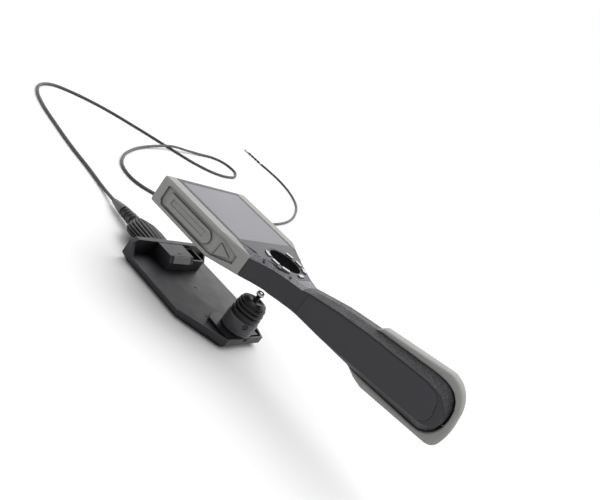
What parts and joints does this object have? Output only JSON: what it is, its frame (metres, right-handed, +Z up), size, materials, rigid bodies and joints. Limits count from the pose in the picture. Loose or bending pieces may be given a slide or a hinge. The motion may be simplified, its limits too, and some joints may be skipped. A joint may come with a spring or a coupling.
{
  "type": "inspection camera",
  "caption": "Hand-held inspection camera: paddle display unit with side bumpers and curved grip over a detached probe module with joystick and a long insertion tube.",
  "frame": {"origin": "on the floor, under the middle of the rigid pieces (the free insertion tube and its tip left out)", "axes": "+Z up, out of the screen; +X the display's right; +Y towards the display's top end and the tube, so the handle runs towards -Y"},
  "size_m": [0.8051, 0.8362, 0.1417],
  "materials": {
    "dark_plastic": "fine satin",
    "black_plastic": "satin",
    "speckled_rim": "speckled satin",
    "grip_rubber": "fine texture",
    "bumper_rubber": "matt",
    "cover_rubber": "matt",
    "black_rubber": "matt",
    "screen_glass": "polished",
    "lcd": "gloss",
    "steel": "brushed",
    "chrome": "polished",
    "board": "solder mask",
    "contacts": "plated",
    "battery_case": "satin",
    "grey_plastic": "satin",
    "tube_braid": "woven sheen"
  },
  "bodies": {
    "module": {"module_tray": "dark_plastic", "tray_screw_1": "steel", "tray_screw_2": "steel", "connector_block": "dark_plastic", "connector_plate": "grey_plastic", "connector_socket": "black_plastic", "socket_pins": "contacts", "joystick_base": "black_plastic", "joystick_turret": "black_plastic", "turret_screw": "steel", "bellows": "black_rubber", "boot": "black_rubber", "boot_neck": "black_rubber", "sleeve": "grey_plastic", "insertion_tube": "tube_braid", "tip_collar": "chrome"},
    "display": {"rear_housing": "dark_plastic", "bezel": "speckled_rim", "grip_front": "grip_rubber", "bumper_left": "bumper_rubber", "bumper_right": "bumper_rubber", "port_block_left": "steel", "port_block_right": "steel", "grip_panel_left": "dark_plastic", "grip_panel_right": "dark_plastic", "screen_glass": "screen_glass", "lcd_panel": "lcd", "joystick_well": "black_plastic", "main_board": "board", "dock_contacts": "contacts", "bezel_screw_1": "steel", "bezel_screw_2": "steel", "bezel_screw_3": "steel", "bezel_screw_4": "steel", "rear_screw_1": "steel", "rear_screw_2": "steel", "battery_contacts": "contacts", "end_bumper": "bumper_rubber", "battery_pack": "battery_case"},
    "cover_left": {"port_cover_left": "cover_rubber"},
    "cover_right": {"port_cover_right": "cover_rubber"},
    "release_left": {"release_button_left": "cover_rubber"},
    "release_right": {"release_button_right": "cover_rubber"},
    "gimbal": {"gimbal_ring": "steel"},
    "stick": {"joystick_stalk": "black_plastic", "joystick_cap": "chrome"},
    "link_1": {"bending_link_1": "black_rubber"},
    "link_2": {"bending_link_2": "black_rubber"},
    "link_3": {"bending_link_3": "black_rubber"},
    "link_4": {"bending_link_4": "black_rubber"},
    "tip_head": {"camera_head": "chrome", "camera_window": "screen_glass"},
    "key_left_upper": {"key_left_upper": "chrome"},
    "key_left_middle": {"key_left_middle": "chrome"},
    "key_left_lower": {"key_left_lower": "chrome"},
    "key_bottom": {"key_bottom": "chrome"},
    "key_right_lower": {"key_right_lower": "chrome"},
    "key_right_middle": {"key_right_middle": "chrome"},
    "key_right_upper": {"key_right_upper": "chrome"}
  },
  "joints": [
    {"name": "dock_slide", "type": "slide", "parent": "module", "child": "display", "axis": [0, 0, 1], "range_m": [-0.062, 0]},
    {"name": "port_cover_left_hinge", "type": "hinge", "parent": "display", "child": "cover_left", "pos_m": [-0.0706, 0.07744, 0.0813], "axis": [0, -1, 0], "range_deg": [0, 110]},
    {"name": "release_left_press", "type": "slide", "parent": "display", "child": "release_left", "axis": [0.8536, 0.521, 0], "range_m": [0, 0.0014], "stiffness_N_per_m": 600},
    {"name": "port_cover_right_hinge", "type": "hinge", "parent": "display", "child": "cover_right", "pos_m": [0.0706, 0.07744, 0.0813], "axis": [0, 1, 0], "range_deg": [0, 110]},
    {"name": "release_right_press", "type": "slide", "parent": "display", "child": "release_right", "axis": [-0.8536, 0.521, 0], "range_m": [0, 0.0014], "stiffness_N_per_m": 600},
    {"name": "key_left_upper_press", "type": "slide", "parent": "display", "child": "key_left_upper", "axis": [0, 0, -1], "range_m": [0, 0.0008], "stiffness_N_per_m": 700, "springref_m": -0.0004},
    {"name": "key_left_middle_press", "type": "slide", "parent": "display", "child": "key_left_middle", "axis": [0, 0, -1], "range_m": [0, 0.0008], "stiffness_N_per_m": 700, "springref_m": -0.0004},
    {"name": "key_left_lower_press", "type": "slide", "parent": "display", "child": "key_left_lower", "axis": [0, 0, -1], "range_m": [0, 0.0008], "stiffness_N_per_m": 700, "springref_m": -0.0004},
    {"name": "key_bottom_press", "type": "slide", "parent": "display", "child": "key_bottom", "axis": [0, 0, -1], "range_m": [0, 0.0008], "stiffness_N_per_m": 700, "springref_m": -0.0004},
    {"name": "key_right_lower_press", "type": "slide", "parent": "display", "child": "key_right_lower", "axis": [0, 0, -1], "range_m": [0, 0.0008], "stiffness_N_per_m": 700, "springref_m": -0.0004},
    {"name": "key_right_middle_press", "type": "slide", "parent": "display", "child": "key_right_middle", "axis": [0, 0, -1], "range_m": [0, 0.0008], "stiffness_N_per_m": 700, "springref_m": -0.0004},
    {"name": "key_right_upper_press", "type": "slide", "parent": "display", "child": "key_right_upper", "axis": [0, 0, -1], "range_m": [0, 0.0008], "stiffness_N_per_m": 700, "springref_m": -0.0004},
    {"name": "joystick_fore_aft", "type": "hinge", "parent": "module", "child": "gimbal", "pos_m": [0, -0.00256, 0.0265], "axis": [1, 0, 0], "range_deg": [-18, 18], "stiffness_Nm_per_rad": 0.15, "deforming": ["bellows"]},
    {"name": "joystick_side", "type": "hinge", "parent": "gimbal", "child": "stick", "pos_m": [0, -0.00256, 0.0265], "axis": [0, 1, 0], "range_deg": [-18, 18], "stiffness_Nm_per_rad": 0.15, "deforming": ["bellows"]},
    {"name": "tip_lift_1", "type": "hinge", "parent": "module", "child": "link_1", "pos_m": [0.728, 0.54844, 0.0023], "axis": [1, 0, 0], "range_deg": [0, 25], "stiffness_Nm_per_rad": 0.003},
    {"name": "tip_yaw_1", "type": "hinge", "parent": "link_1", "child": "link_2", "pos_m": [0.728, 0.55914, 0.0023], "axis": [0, 0, 1], "range_deg": [-27, 27], "stiffness_Nm_per_rad": 0.003},
    {"name": "tip_yaw_2", "type": "hinge", "parent": "link_2", "child": "link_3", "pos_m": [0.728, 0.56974, 0.0023], "axis": [0, 0, 1], "range_deg": [-27, 27], "stiffness_Nm_per_rad": 0.003},
    {"name": "tip_yaw_3", "type": "hinge", "parent": "link_3", "child": "link_4", "pos_m": [0.728, 0.58034, 0.0023], "axis": [0, 0, 1], "range_deg": [-27, 27], "stiffness_Nm_per_rad": 0.003},
    {"name": "tip_lift_2", "type": "hinge", "parent": "link_4", "child": "tip_head", "pos_m": [0.728, 0.59094, 0.0023], "axis": [1, 0, 0], "range_deg": [0, 25], "stiffness_Nm_per_rad": 0.003}
  ],
  "couplings": [
    {"joint": "tip_yaw_1", "follows": "joystick_side", "ratio": -1.5},
    {"joint": "tip_yaw_2", "follows": "joystick_side", "ratio": -1.5},
    {"joint": "tip_yaw_3", "follows": "joystick_side", "ratio": -1.5},
    {"joint": "tip_lift_2", "follows": "tip_lift_1", "ratio": 1}
  ]
}
